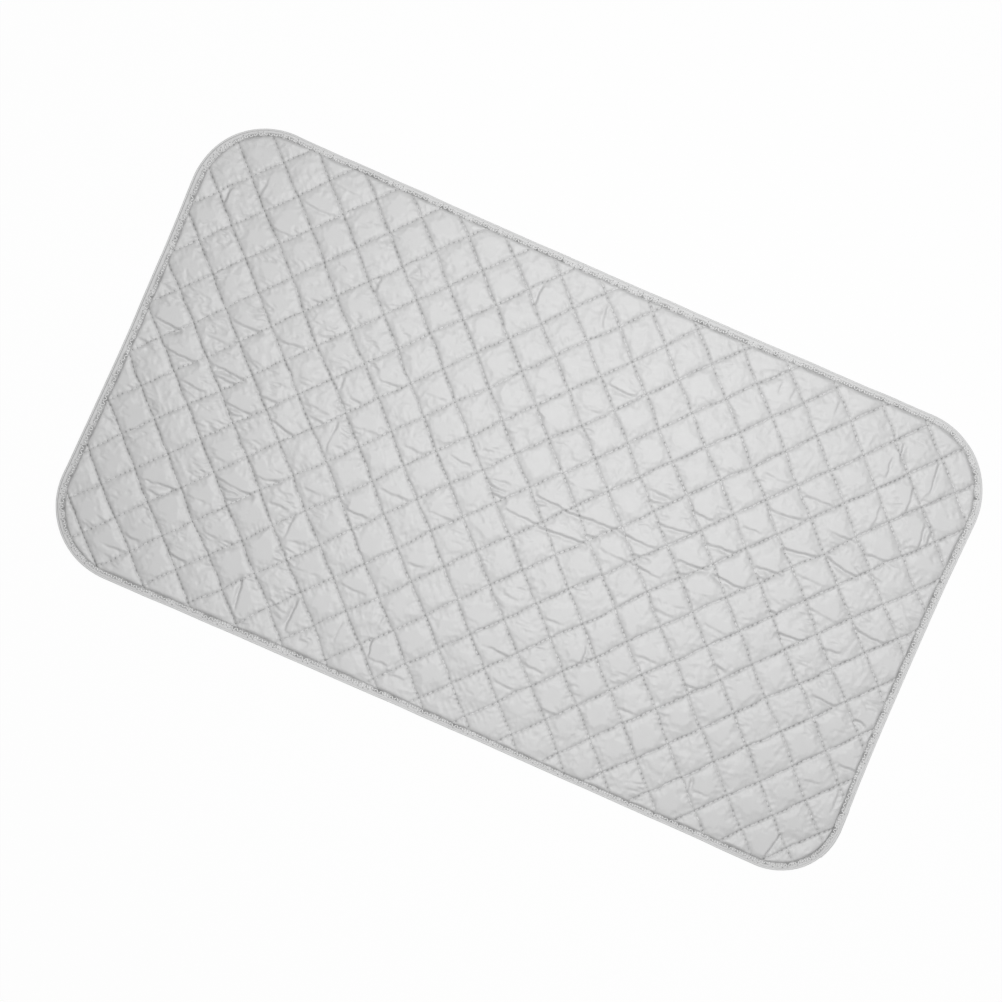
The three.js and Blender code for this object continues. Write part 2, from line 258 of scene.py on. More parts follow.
def depth_inside(sizes, x, y):
    """How far inside the pad's outer edge each point lies."""
    bow_x, bow_y = bow(sizes, x, y)
    x = x / bow_x
    y = y / bow_y
    radius = corner_radius_at(sizes, x, y)
    over_x = np.abs(x) - (sizes.pad_length / 2 - radius)
    over_y = np.abs(y) - (sizes.pad_width / 2 - radius)
    outward = np.hypot(np.maximum(over_x, 0), np.maximum(over_y, 0))
    return radius - outward - np.minimum(np.maximum(over_x, over_y), 0)


def onto_outline(sizes, x, y, inset):
    """The nearest points to x, y on the pad's outline drawn in by the inset."""
    bow_x, bow_y = bow(sizes, x, y)
    x = x / bow_x
    y = y / bow_y
    radius = corner_radius_at(sizes, x, y)
    core_x = np.clip(x, radius - sizes.pad_length / 2, sizes.pad_length / 2 - radius)
    core_y = np.clip(y, radius - sizes.pad_width / 2, sizes.pad_width / 2 - radius)
    reach = np.hypot(x - core_x, y - core_y)
    grow = (radius - inset) / reach
    return (core_x + (x - core_x) * grow) * bow_x, (core_y + (y - core_y) * grow) * bow_y


def edge_marks(sizes):
    """Where the outer edge changes, clockwise from the tape's join.

    For each mark: distance along the edge, corner radius, x and y of the corner's centre, and heading.
    """
    half_x = sizes.pad_length / 2
    half_y = sizes.pad_width / 2
    first = sizes.corner_radii[0]
    join_y = first + sizes.join_to_corner - half_y
    corners = zip(sizes.corner_radii, (1, -1, -1, 1), (-1, -1, 1, 1))
    marks = [(first, half_x - first, join_y, -1)]
    for number, (radius, right, up) in enumerate(corners):
        centre = (radius, right * (half_x - radius), up * (half_y - radius))
        marks.append((*centre, -1 - number))
        marks.append((*centre, -2 - number))
    marks.append((first, half_x - first, join_y, -5))
    radius, x, y, quarter = np.array(marks).T
    heading = quarter * math.pi / 2
    edge_x = x - radius * np.sin(heading)
    edge_y = y + radius * np.cos(heading)
    straight = np.hypot(np.diff(edge_x), np.diff(edge_y))
    steps = np.where(np.diff(quarter) != 0, -np.diff(heading) * radius[1:], straight)
    return np.concatenate([[0], np.cumsum(steps)]), radius, x, y, heading


def edge_length(sizes):
    """Length of the pad's outer edge."""
    return edge_marks(sizes)[0][-1]


def edge_walk(sizes, along):
    """Points of the outer edge at distances along it from the join, and their outward directions."""
    marks, *columns = edge_marks(sizes)
    place = np.mod(along, marks[-1])
    radius, x, y, heading = (np.interp(place, marks, column) for column in columns)
    outward = np.stack([-np.sin(heading), np.cos(heading)], -1)
    edge = np.stack([x, y], -1) + radius[:, None] * outward
    return edge * np.stack(bow(sizes, edge[:, 0], edge[:, 1]), -1), outward


def tape_width_at(sizes, x, y):
    """Width of the binding that shows: uneven, and widest on the left end."""
    end = 70 * MM
    left = np.clip((end - sizes.pad_length / 2 - x) / end, 0, 1)
    right = np.clip((end - sizes.pad_length / 2 + x) / end, 0, 1)
    width = sizes.tape_width + sizes.tape_extra * left ** 2 + 0.35 * sizes.tape_extra * right ** 2
    for mid_x, side, reach, extra in TAPE_SWELLS:
        width = width + extra * MM * np.exp(-((x / MM - mid_x) / reach) ** 2) * (y * side > 0.15)
    return width


# Noise and the quilting lattice

def soft_noise(seed, x, y, grain):
    """Smooth random values from -1 to 1 at points x, y, with hills about one grain across."""
    reach = 0.6
    count = int(2 * reach / grain) + 2
    table = np.random.default_rng(seed).uniform(-1, 1, (count, count))
    u = (x + reach) / grain
    v = (y + reach) / grain
    i = u.astype(int)
    j = v.astype(int)
    u = (u - i) ** 2 * (3 - 2 * (u - i))
    v = (v - j) ** 2 * (3 - 2 * (v - j))
    near = table[i, j] * (1 - v) + table[i, j + 1] * v
    far = table[i + 1, j] * (1 - v) + table[i + 1, j + 1] * v
    return near * (1 - u) + far * u


def lattice_numbers(steps):
    """Row numbers of the lattice's points: p counts falling rows and q rising ones."""
    count = np.arange(-CELLS_EACH_WAY * steps, CELLS_EACH_WAY * steps + 1) / steps
    return np.meshgrid(count, count, indexing="ij")


def lattice_places(sizes, p, q):
    """Flat places of the lattice's points, with the rows' sway."""
    falling = np.array([-math.sin(sizes.falling_angle), math.cos(sizes.falling_angle)])
    rising = np.array([-math.sin(sizes.rising_angle), math.cos(sizes.rising_angle)])
    across_falling = sizes.falling_offset + p * sizes.falling_pitch
    across_rising = sizes.rising_offset + q * sizes.rising_pitch
    spread = falling[0] * rising[1] - falling[1] * rising[0]
    x = (across_falling * rising[1] - across_rising * falling[1]) / spread
    y = (across_rising * falling[0] - across_falling * rising[0]) / spread
    near = np.hypot(x, y) < 0.55
    sway_x = np.zeros_like(x)
    sway_y = np.zeros_like(y)
    for sway, seed in ((sway_x, 11), (sway_y, 15)):
        for grain, weight in ((45 * MM, 1.0), (14 * MM, 0.7), (5.5 * MM, 0.3)):
            sway[near] += weight * soft_noise(seed, x[near], y[near], grain)
            seed += 1
    return x + sizes.row_sway * sway_x, y + sizes.row_sway * sway_y


def refine(values, coarse, fine):
    """Values on a lattice of fine steps a cell, on smooth curves through those on one of coarse steps."""
    for _ in range(2):
        place = np.arange((values.shape[0] - 1) * fine // coarse + 1) * coarse / fine
        base = np.minimum(place.astype(int), values.shape[0] - 2)
        t = (place - base)[:, None]
        rows = [np.clip(base + k, 0, values.shape[0] - 1) for k in (-1, 0, 1, 2)]
        weights = [
            (-t + 2 * t ** 2 - t ** 3) / 2,
            (2 - 5 * t ** 2 + 3 * t ** 3) / 2,
            (t + 4 * t ** 2 - 3 * t ** 3) / 2,
            (t ** 3 - t ** 2) / 2,
        ]
        values = sum(weight * values[row] for weight, row in zip(weights, rows)).T
    return values


# The quilted cloth, relaxed over the wadding

def spring_sets(shape, step, ready):
    """Pairs of ready points one step apart on the lattice, in two sets with no point twice in one set."""
    down, across = step
    number = np.arange(shape[0] * shape[1]).reshape(shape)
    left = slice(max(-across, 0), shape[1] - max(across, 0))
    right = slice(max(across, 0), shape[1] - max(-across, 0))
    first = number[: shape[0] - down, left]
    second = number[down:, right]
    counted = np.indices(first.shape)[0 if down else 1] // max(down, abs(across))
    both = ready.ravel()[first] & ready.ravel()[second]
    return [(first[both & (counted % 2 == k)], second[both & (counted % 2 == k)]) for k in (0, 1)]


def tight_crowns(p, q, seed):
    """Heights of a tight cloth over wadding, from 0 on the rows to about 1 in the middle of a cell.

    Each cell is a round crown, with more or less of a ridge from its left to its right corner, because the
    cloth pulls along the pad.
    """
    count = 2 * CELLS_EACH_WAY + 1
    rng = np.random.default_rng(seed)
    fullness, ridge, lean_p, lean_q = rng.uniform(0, 1, (4, count, count))
    cell = (np.floor(p).astype(int) + CELLS_EACH_WAY, np.floor(q).astype(int) + CELLS_EACH_WAY)
    a = (p % 1) ** (0.65 + 0.7 * lean_p[cell])
    b = (q % 1) ** (0.65 + 0.7 * lean_q[cell])
    round_crown = (16 * a * (1 - a) * b * (1 - b)) ** 0.65
    blunt = 0.06
    up = np.sqrt((a + b - 1) ** 2 + blunt ** 2) - blunt
    ridged_crown = np.maximum((1 - up) ** 2 - (a - b) ** 2, 0)
    mix = 0.55 * ridge[cell] ** 2
    return (0.75 + 0.45 * fullness[cell]) * (round_crown * (1 - mix) + ridged_crown * mix)


def relax_cloth(sizes, puff, slack, seed, rounds):
    """Places of a cloth that is sewn down along the rows over wadding, from its sewn level.

    The cloth is a net of springs that starts as a tight crown over each cell, cut a little larger than
    that by the slack. The thread pulls the needle holes down and each spring takes back its cut length.
    """
    p, q = lattice_numbers(RELAX_STEPS)
    x, y = lattice_places(sizes, p, q)
    depth = depth_inside(sizes, x, y)
    on_row = (p % 1 == 0) | (q % 1 == 0)
    on_stitch = [np.round(row * STITCHES_A_CELL, 6) % 1 == 0 for row in (p, q)]
    needle = on_row & on_stitch[0] & on_stitch[1]
    shown = depth - tape_width_at(sizes, x, y) + 0.6 * MM
    bound = shown < 0
    ready = depth > 0
    free = (ready & ~needle & ~bound).astype(float).ravel()
    loose = np.ones_like(x)
    loose[ready] = 1 + 1.5 * soft_noise(seed + 1, x[ready], y[ready], 6 * MM)
    lowered = np.clip(1 - shown / (5 * MM), 0, 1) ** 2
    z = puff * tight_crowns(p, q, seed) * (1 - lowered)
    z[bound] = 0.3 * MM
    points = np.stack([x, y, z], -1).reshape(-1, 3)
    cut = 1 + slack * loose.ravel()
    springs = []
    bend = 0.12
    kinds = [((1, 0), 1.0), ((0, 1), 1.0), ((1, 1), 0.7), ((1, -1), 0.7),
             ((2, 0), bend), ((0, 2), bend), ((2, 2), bend), ((2, -2), bend)]
    for step, stiffness in kinds:
        for first, second in spring_sets(x.shape, step, ready):
            held = free[first] + free[second]
            first, second, held = first[held > 0], second[held > 0], held[held > 0]
            gap = points[second] - points[first]
            rest = (np.sqrt((gap * gap).sum(1)) * (cut[first] + cut[second]) / 2)[:, None]
            pull_first = (stiffness * free[first] / held)[:, None]
            pull_second = (stiffness * free[second] / held)[:, None]
            springs.append((first, second, rest, pull_first, pull_second, max(step) == 2))
    points[(needle & ~bound).ravel(), 2] = -0.3 * MM
    ceiling = np.where(on_row & ready & ~bound, 0.05 * MM, 1.0).ravel()
    for _ in range(rounds):
        for first, second, rest, pull_first, pull_second, bends in springs:
            gap = points[second] - points[first]
            span = np.sqrt((gap * gap).sum(1))[:, None]
            stretch = 1 - rest / span
            if bends:
                stretch = np.minimum(stretch, 0)
            points[first] += pull_first * stretch * gap
            points[second] -= pull_second * stretch * gap
        points[:, 2] = np.minimum(points[:, 2], ceiling)
    return points.reshape(x.shape + (3,))


def press_creases(x, y, z, creases, width):
    """Presses fold lines into a cloth: a steep step of this width, with gentle slopes on both sides."""
    rng = np.random.default_rng(21)
    margin = 6 * MM
    slope_reach = 5 * MM
    wave = 0.35 * MM
    ripple = 0.2 * MM
    for mid_x, mid_y, reach, lean, depth in creases:
        angle = math.radians(lean)
        dx = x - mid_x * MM
        dy = y - mid_y * MM
        half = reach / 2 * MM
        phase = rng.uniform(0, 2 * math.pi)
        curve = rng.uniform(-1, 1) * reach * 0.02 * MM
        near = np.flatnonzero((np.abs(dx) < half + margin) & (np.abs(dy) < half + margin))
        along = (dx[near] * math.cos(angle) + dy[near] * math.sin(angle)) / half
        across = dy[near] * math.cos(angle) - dx[near] * math.sin(angle)
        across = across - curve * (1 - along ** 2) - wave * np.sin(3.1 * along + phase)
        across = across - ripple * np.sin(reach / 4 * along + 2 * phase)
        fade = np.clip(1 - along ** 2, 0, 1) ** 0.6
        broad = width * (0.75 + 0.7 * depth)
        step = across / broad
        fold = 2 * step / (1 + step ** 2) * np.exp(-(across / slope_reach) ** 2)
        z[near] += 1.45 * broad * depth * fade * fold


def crossing_tucks(sizes, seed):
    """Small tucks at some of the crossings of the rows, as tuples like those of CREASES."""
    rng = np.random.default_rng(seed)
    number = np.arange(-CELLS_EACH_WAY + 1, CELLS_EACH_WAY)
    x, y = lattice_places(sizes, *np.meshgrid(number, number, indexing="ij"))
    for place in zip(x.ravel() / MM, y.ravel() / MM):
        if rng.random() < 0.4:
            yield (place[0] + rng.uniform(-1.5, 1.5), place[1] + rng.uniform(-2, 2), rng.uniform(6, 11),
                   rng.normal(0, 8), rng.uniform(0.25, 0.6))


def small_crinkles(sizes, count, seed):
    """Many short shallow fold lines spread over the cloth, as tuples like those of CREASES."""
    rng = np.random.default_rng(seed)
    half_x = sizes.pad_length / 2 / MM
    half_y = sizes.pad_width / 2 / MM
    for _ in range(count):
        lean = rng.normal(4, 24) + (90 if rng.random() < 0.25 else 0)
        yield (rng.uniform(-half_x, half_x), rng.uniform(-half_y, half_y), rng.uniform(6, 16), lean,
               rng.uniform(0.04, 0.2))


def fold_bundles(sizes, count, seed):
    """Bundles of fine folds, most about the pad's middle and left, as tuples like those of CREASES."""
    rng = np.random.default_rng(seed)
    half_x = sizes.pad_length / 2 / MM
    half_y = sizes.pad_width / 2 / MM
    for _ in range(count):
        left = rng.random() < 0.4
        x = (rng.uniform(-0.97, -0.4) if left else rng.uniform(-1, 1)) * half_x
        y = (rng.uniform(-0.95, 0.8) if left else np.clip(rng.normal(-0.05, 0.42), -0.95, 0.95)) * half_y
        lean = rng.normal(2, 9)
        depth = rng.uniform(0.2, 0.5) + (0.12 if left else 0)
        for _ in range(rng.integers(2, 6)):
            yield (x + rng.uniform(-4, 4), y, rng.uniform(8, 20), lean + rng.normal(0, 4),
                   depth * rng.uniform(0.6, 1))
            y += rng.uniform(2.6, 4.2)


def crumple(x, y, grain, seed):
    """Heights, about 1 from high to low, of the soft ridges and hollows of a handled cloth."""
    total = np.zeros_like(x)
    for number, degrees in enumerate((12, 74, 133)):
        angle = math.radians(degrees)
        along = x * math.cos(angle) + y * math.sin(angle)
        across = y * math.cos(angle) - x * math.sin(angle)
        total += 1 - np.abs(soft_noise(seed + number, 0.6 * along, across, grain))
    return total / 3


def row_tightness(x):
    """How tight the rows are sewn: falling ones most on the left, rising ones on the right."""
    falling = 1.1 + np.clip(-2.9 * x, -0.2, 1.1)
    rising = 0.95 + np.clip(1.7 * x, -0.3, 0.65)
    return falling, rising


def each_family(sizes, p, q, x):
    """For both families of rows: distance from the row and stitch phase, place along it and tightness."""
    tight_falling, tight_rising = row_tightness(x)
    rows = [(p, q, sizes.falling_pitch, sizes.rising_pitch, tight_falling),
            (q, p, sizes.rising_pitch, sizes.falling_pitch, tight_rising)]
    for over, along, pitch, spacing, tight in rows:
        across = (over - np.round(over)) * pitch
        phase = along * STITCHES_A_CELL - np.round(along * STITCHES_A_CELL)
        yield across, phase, phase * spacing / STITCHES_A_CELL, tight


def stitch_relief(sizes, p, q, x, y):
    """Relief that the stitches give a cloth: a narrow groove, needle holes and puckers beside them."""
    relief = np.zeros_like(x)
    uneven = 1 + soft_noise(31, x, y, 6 * MM)
    groove_depth, hole_depth, pucker_height = 0.9 * MM, 0.25 * MM, 0.5 * MM
    slope_depth = 0.35 * MM
    for across, phase, stitch, tight in each_family(sizes, p, q, x):
        groove = np.exp(-(across / (0.75 * MM)) ** 4)
        hole = np.exp(-(across ** 2 + stitch ** 2) / (0.9 * MM) ** 2)
        beside = np.exp(-np.abs(across) / (2.4 * MM)) - np.exp(-(across / (1.3 * MM)) ** 2)
        pucker = -np.cos(2 * math.pi * phase) * np.maximum(beside, 0)
        drawn = groove_depth * groove + slope_depth * (tight - 1) * np.exp(-np.abs(across) / (2.5 * MM))
        relief += -tight * drawn - hole_depth * hole + pucker_height * uneven * pucker
    return relief


def needle_shade(sizes, p, q, x, y):
    """Painted shade of a cloth, from 0 to 1: dark dots in its needle holes, drawn out into dashes along the
    rows that are sewn tight.
    """
    shade = np.zeros_like(p)
    uneven = np.clip(0.5 + 0.8 * soft_noise(35, x, y, 4.5 * MM), 0.05, 1)
    for across, _, stitch, tight in each_family(sizes, p, q, x):
        dash = 0.85 * np.exp(-(across / (0.85 * MM)) ** 2 - (stitch / (1.35 * MM * tight)) ** 2)
        shade = np.maximum(shade, uneven * dash)
    return shade


class Quilt:
    """A quilted cloth on the lattice: places x and y, heights z outward and depth inside the edge."""

    def __init__(self, sizes, steps, level, puff, slack, seed, rounds):
        self.steps = steps
        relaxed = relax_cloth(sizes, puff, slack, seed, rounds)
        self.x, self.y, self.z = (refine(relaxed[..., k], RELAX_STEPS, steps) for k in range(3))
        self.z = self.z + level
        self.p, self.q = lattice_numbers(steps)
        self.depth = depth_inside(sizes, self.x, self.y)
        self.inside = self.depth > sizes.layer_inset
        self.open = self.depth > tape_width_at(sizes, self.x, self.y) - 1.5 * MM


def tuck_under_tape(sizes, quilt, shown, z, highest):
    """Gives a quilt its heights at the shown points, lowered to go under the binding at the edge."""
    under_tape = 1.15 * MM
    width = tape_width_at(sizes, quilt.x[shown], quilt.y[shown])
    margin = np.clip((quilt.depth[shown] - width) / (2.5 * MM), 0, 1)
    quilt.z[shown] = np.clip(np.minimum(z, under_tape + 3 * MM * margin), 0.1 * MM, highest)
    quilt.z = np.where(quilt.open, quilt.z, under_tape)
    return quilt


@functools.lru_cache(maxsize=1)
def face_quilt():
    """The finished quilted face cloth."""
    sizes = sizes_now()
    rounds = 40
    quilt = Quilt(sizes, FACE_STEPS, sizes.face_level, sizes.face_puff, sizes.face_slack, 41, rounds)
    shown = np.nonzero(quilt.open)
    x, y, z = quilt.x[shown], quilt.y[shown], quilt.z[shown]
    folds = [(CREASES, 1.8), (small_crinkles(sizes, 700, 51), 1.2), (fold_bundles(sizes, 300, 53), 1.35),
             (crossing_tucks(sizes, 52), 1.1)]
    for creases, width in folds:
        press_creases(x, y, z, creases, width * MM)
    z += stitch_relief(sizes, quilt.p[shown], quilt.q[shown], x, y)
    z += 1.8 * MM * crumple(x, y, 7 * MM, 61) + 0.7 * MM * crumple(x, y, 3.4 * MM, 65) - 1.25 * MM
    return tuck_under_tape(sizes, quilt, shown, z, math.inf)


@functools.lru_cache(maxsize=1)
def back_quilt():
    """The finished quilted backing cloth, with its heights counted downward."""
    sizes = sizes_now()
    rounds = 25
    quilt = Quilt(sizes, BACK_STEPS, sizes.back_level, sizes.back_puff, sizes.back_slack, 71, rounds)
    shown = np.nonzero(quilt.open)
    x, y, z = quilt.x[shown], quilt.y[shown], quilt.z[shown]
    z += stitch_relief(sizes, quilt.p[shown], quilt.q[shown], x, y)
    return tuck_under_tape(sizes, quilt, shown, z, sizes.mid_plane - 0.05 * MM)


# Meshes

def make_piece(name, points, faces, material, replaced):
    """A smooth mesh piece with a material, riding on the pad and standing for CAD nodes."""
    mesh = bpy.data.meshes.new(name)
    mesh.from_pydata(points, [], faces)
    if mesh.validate():
        raise RuntimeError(f"the mesh of {name} has faulty faces")
    mesh.shade_smooth()
    mesh.materials.append(material)
    piece = bpy.data.objects.new(name, mesh)
    bpy.context.scene.collection.objects.link(piece)
    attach(piece, BODY)
    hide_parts(*replaced)
    return piece


def kept_squares(keep):
    """Corner numbers of the lattice's small squares whose four corners are all kept."""
    number = np.arange(keep.size).reshape(keep.shape)
    whole = keep[:-1, :-1] & keep[1:, :-1] & keep[1:, 1:] & keep[:-1, 1:]
    corners = [number[:-1, :-1], number[1:, :-1], number[1:, 1:], number[:-1, 1:]]
    return np.stack([corner[whole] for corner in corners], -1)


def sheet_points(sizes, quilt, upward):
    """Points, faces and painted shade of a quilted cloth, with its rim trimmed to the layers' outline."""
    squares = kept_squares(quilt.inside)
    used, faces = np.unique(squares, return_inverse=True)
    faces = faces.reshape(-1, 4)
    x, y, z = (values.ravel()[used] for values in (quilt.x, quilt.y, quilt.z))
    rim = np.bincount(faces.ravel()) < 4
    x[rim], y[rim] = onto_outline(sizes, x[rim], y[rim], sizes.layer_inset)
    height = sizes.mid_plane + (z if upward else -z)
    shade = needle_shade(sizes, quilt.p.ravel()[used], quilt.q.ravel()[used], x, y)
    # Painted shade in the crevice where the cloth meets the binding, weaker along the far long side.
    beside_tape = quilt.depth.ravel()[used] - tape_width_at(sizes, x, y)
    gap_shade = 0.4 - 0.25 * np.clip(10 * y - 1, 0, 1)
    shade = np.maximum(shade, gap_shade * np.exp(-(beside_tape / (0.9 * MM)) ** 2))
    return np.stack([x, y, height], -1), faces if upward else faces[:, ::-1], shade


def add_flat_map(sizes, piece):
    """Lays a cloth's texture map out flat, as it was cut."""
    mesh = piece.data
    places = np.empty(len(mesh.vertices) * 3)
    mesh.vertices.foreach_get("co", places)
    corners = np.empty(len(mesh.loops), int)
    mesh.loops.foreach_get("vertex_index", corners)
    flat = places.reshape(-1, 3)[:, :2] / max(sizes.pad_length, sizes.pad_width) + 0.5
    layer = mesh.uv_layers.new(name="OFBake")
    layer.data.foreach_set("uv", flat[corners].ravel())


def add_shade(piece, shade):
    """Gives a piece a value from 0 to 1 at each point, by which its material darkens its colour: painted
    shade, and on the quilting threads also tone that differs at random.
    """
    layer = piece.data.attributes.new("shade", "FLOAT", "POINT")
    layer.data.foreach_set("value", np.ascontiguousarray(shade, dtype=np.float32))


def ring_faces(stations, ring, inward):
    """Faces between rings of points along a run, with its two ends closed; inward turns them all round."""
    row = np.arange(stations - 1)[:, None] * ring
    here = np.arange(ring)
    there = np.roll(here, -1)
    corners = [row + here, row + there, row + there + ring, row + here + ring]
    ends = [list(range(ring))[::-1], list(range((stations - 1) * ring, stations * ring))]
    if inward:
        corners = corners[:1] + corners[:0:-1]
        ends = [end[::-1] for end in ends]
    return np.stack(corners, -1).reshape(-1, 4).tolist() + ends


def tube(path, side, half_width, half_height, sides):
    """Points and faces of a thread along a path: an oval section held level by the side directions."""
    ahead = np.gradient(path, axis=0)
    ahead /= np.linalg.norm(ahead, axis=1, keepdims=True)
    above = np.cross(ahead, side)
    above /= np.linalg.norm(above, axis=1, keepdims=True)
    angles = np.arange(sides) * 2 * math.pi / sides
    sideways = (half_width * np.cos(angles))[:, None]
    upward = (half_height * np.sin(angles))[:, None]
    ring = side[:, None] * sideways + above[:, None] * upward
    return (path[:, None] + ring).reshape(-1, 3), ring_faces(len(path), sides, False)


def join_parts(parts):
    """One list of points and one of faces from several (points, faces) parts."""
    points = np.concatenate([part[0] for part in parts])
    faces = []
    start = 0
    for part_points, part_faces in parts:
        faces += [[start + corner for corner in face] for face in part_faces]
        start += len(part_points)
    return points, faces


# Stitched rows

def row_run(sizes, quilt, family, number):
    """The lattice points of one stitched row that lie between the bindings, as indices and places."""
    line = (number + CELLS_EACH_WAY) * quilt.steps
    pick = (line, slice(None)) if family == "a" else (slice(None), line)
    x, y, z, depth = (values[pick] for values in (quilt.x, quilt.y, quilt.z, quilt.depth))
    inside = np.flatnonzero(depth > tape_width_at(sizes, x, y) - 2 * MM)
    run = slice(inside[0], inside[-1] + 1)
    return np.arange(len(x))[run], np.stack([x[run], y[run], z[run]], -1)


def stitch_thread(sizes, quilt, family, number, upward, sides):
    """One thread of a row: it lies on the cloth and goes down at each needle hole."""
    index, places = row_run(sizes, quilt, family, number)
    steps_a_stitch = quilt.steps // STITCHES_A_CELL
    phase = (index % steps_a_stitch) / steps_a_stitch
    flatness, arch, sunk, drawn = 0.65, 0.8, 0.3, 0.4
    stray = 0.25 * MM
    thickness = flatness * sizes.thread_width
    tension = 1 + 0.5 * soft_noise(37, places[:, 0], places[:, 1], 6 * MM)
    tight = row_tightness(places[:, 0])["ab".index(family)]
    lift = thickness * (arch * tension * np.sqrt(np.sin(math.pi * phase)) - sunk - drawn * (tight - 1))
    angle = sizes.falling_angle if family == "a" else sizes.rising_angle
    flip = 1 if upward else -1
    path = np.stack([places[:, 0], places[:, 1], sizes.mid_plane + flip * (places[:, 2] + lift)], -1)
    side = np.tile([-math.sin(angle), math.cos(angle), 0.0], (len(path), 1))
    path += stray * soft_noise(39, places[:, 0], places[:, 1], 5 * MM)[:, None] * side
    points, faces = tube(path, side, sizes.thread_width / 2, thickness / 2, sides)
    # Each stitch's tone differs at random; on tight rows the thread gets painted shade of the groove it
    # lies in, and at each needle hole full painted shade where it goes down.
    uneven = np.clip(0.34 + 0.26 * soft_noise(41, places[:, 0], places[:, 1], 3.5 * MM), 0, 0.8)
    shade = np.maximum(uneven, 0.6 * np.clip(tight - 1, 0, 1))
    shade[phase == 0] = 1
    return points, faces, np.repeat(shade, sides)


# The binding

GROOVE_INSET = 1.8 * MM
STATIONS_A_ZIGZAG = 8
THREAD_STEPS_A_ZIGZAG = 16
SEAM_HALF_WIDTH = 0.55 * MM
SEAM_HALF_HEIGHT = 0.34 * MM
# Where the zigzag's needle goes in, as shares of the leg, and how far each place may stray.
NEEDLE_PLACES = (0.93, 0.4)
NEEDLE_STRAY = (0.06, 0.2)
# How far the lapped tape stands over the tape below it, in thicknesses of the tape.
LAP_RISE = 1.15

# The tape's leg from its inner edge to the rim's groove: share of the leg and height in millimetres.
LEG = [(1.0, 1.70), (0.96, 1.98), (0.88, 2.16), (0.78, 2.28), (0.67, 2.35), (0.56, 2.38), (0.45, 2.40),
       (0.34, 2.40), (0.23, 2.34), (0.12, 2.12), (0.0, 1.66)]
# The rim from the groove to the middle of the fold: inset and height in millimetres.
RIM = [(1.55, 2.1), (1.1, 2.48), (0.65, 2.44), (0.28, 2.0), (0.06, 1.15), (0.0, 0.0)]
# The tape's inside, in the same two ways.
LEG_INSIDE = [(1.0, 1.30), (0.5, 1.80), (0.0, 1.28)]
RIM_INSIDE = [(0.9, 1.9), (0.45, 0.0)]


def tape_section():
    """The folded tape's outline as (share of the leg or None, inset of the rim, height)."""
    face = [(part, 0.0, height) for part, height in LEG] + [(None, inset, height) for inset, height in RIM]
    within = [(part, 0.0, height) for part, height in LEG_INSIDE]
    within += [(None, inset, height) for inset, height in RIM_INSIDE]
    outside = face + [(part, inset, -height) for part, inset, height in face[-2::-1]]
    inside = within + [(part, inset, -height) for part, inset, height in within[-2::-1]]
    return outside + inside[::-1]


def leg_inset(sizes, edge, part):
    """Inset of a place on the tape's leg, part of the way from the rim's groove to its inner edge."""
    return GROOVE_INSET + part * (tape_width_at(sizes, edge[:, 0], edge[:, 1]) - GROOVE_INSET)


def leg_height(part):
    """Height of the tape's leg, part of the way from the rim's groove to its inner edge."""
    shares, heights = zip(*LEG[::-1])
    return np.interp(part, shares, heights) * MM


def zigzag_swing(sizes, phase):
    """Where the zigzag thread is on the tape's leg: inside at a phase of 0 and outside at a half."""
    count = zigzag_count(sizes)
    rng = np.random.default_rng(83)
    stray = rng.uniform(-1, 1, 2 * count) * np.tile(NEEDLE_STRAY, count)
    stops = np.tile(NEEDLE_PLACES, count) + stray
    return np.interp(phase, np.arange(2 * count) / 2, stops, period=count)


def needle_share(phase):
    """1 where the zigzag thread goes through the tape and 0 between."""
    return np.clip(np.cos(4 * math.pi * phase), 0, 1) ** 2


def zigzag_count(sizes):
    """Whole number of zigzags round the pad."""
    return round(edge_length(sizes) / sizes.zigzag_pitch)


def tape_wander(edge):
    """How far the tape and its seam wander inward from the outline."""
    return 0.25 * MM * soft_noise(81, edge[:, 0], edge[:, 1], 30 * MM)


def tape_mesh(sizes):
    """Points, faces and painted shade of the folded binding tape, with the zigzag seam pressed into it."""
    count = STATIONS_A_ZIGZAG * zigzag_count(sizes)
    spacing = edge_length(sizes) / count
    number = np.arange(count + round(sizes.tape_lap / spacing) + 1)
    along = number * spacing
    phase = number / STATIONS_A_ZIGZAG
    edge, outward = edge_walk(sizes, along)
    wander = tape_wander(edge)
    uneven = soft_noise(85, edge[:, 0], edge[:, 1], 4 * MM)
    ramp = 6 * MM
    press_depth, needle_depth, ripple_height = 0.3 * MM, 0.25 * MM, 0.16 * MM
    rise = LAP_RISE * sizes.tape_thickness * np.clip((along - edge_length(sizes) + ramp) / ramp, 0, 1)
    width = tape_width_at(sizes, edge[:, 0], edge[:, 1]) - GROOVE_INSET
    columns = []
    shades = []
    for part, inset, height in tape_section():
        shade = np.zeros(len(along))
        if part is None:
            run = np.full(len(along), inset * MM) - (rise if inset < 0.4 else 0)
            dip = 0
        else:
            run = leg_inset(sizes, edge, part)
            apart = (part - zigzag_swing(sizes, phase)) * width
            sewn = np.clip((part - 0.3) / 0.3, 0, 1)
            between = sewn * np.clip(np.abs(apart) / (0.9 * MM), 0, 1)
            pricked = needle_share(phase) * np.exp(-(apart / (0.6 * MM)) ** 2)
            dip = press_depth * between + needle_depth * pricked
            # Painted shade on the tape in the gaps between the zigzag's legs, stronger towards its inner
            # edge.
            shade = np.clip(0.45 + 0.4 * uneven, 0, 1) * between
            # Painted shade along the rim's groove, darkest on the left end.
            if part == 0:
                shade = 0.25 + 0.45 * np.clip(-12 * edge[:, 0] - 4, 0, 1)
        place = edge - outward * (run + wander)[:, None]
        ripple = ripple_height * min(abs(height), 1.0) * soft_noise(87, place[:, 0], place[:, 1], 3.3 * MM)
        level = height * MM + np.sign(height) * (rise - dip + ripple)
        columns.append(np.column_stack([place, sizes.mid_plane + level]))
        shades.append(shade)
    points = np.stack(columns, 1).reshape(-1, 3)
    return points, ring_faces(len(along), len(columns), True), np.stack(shades, 1).ravel()


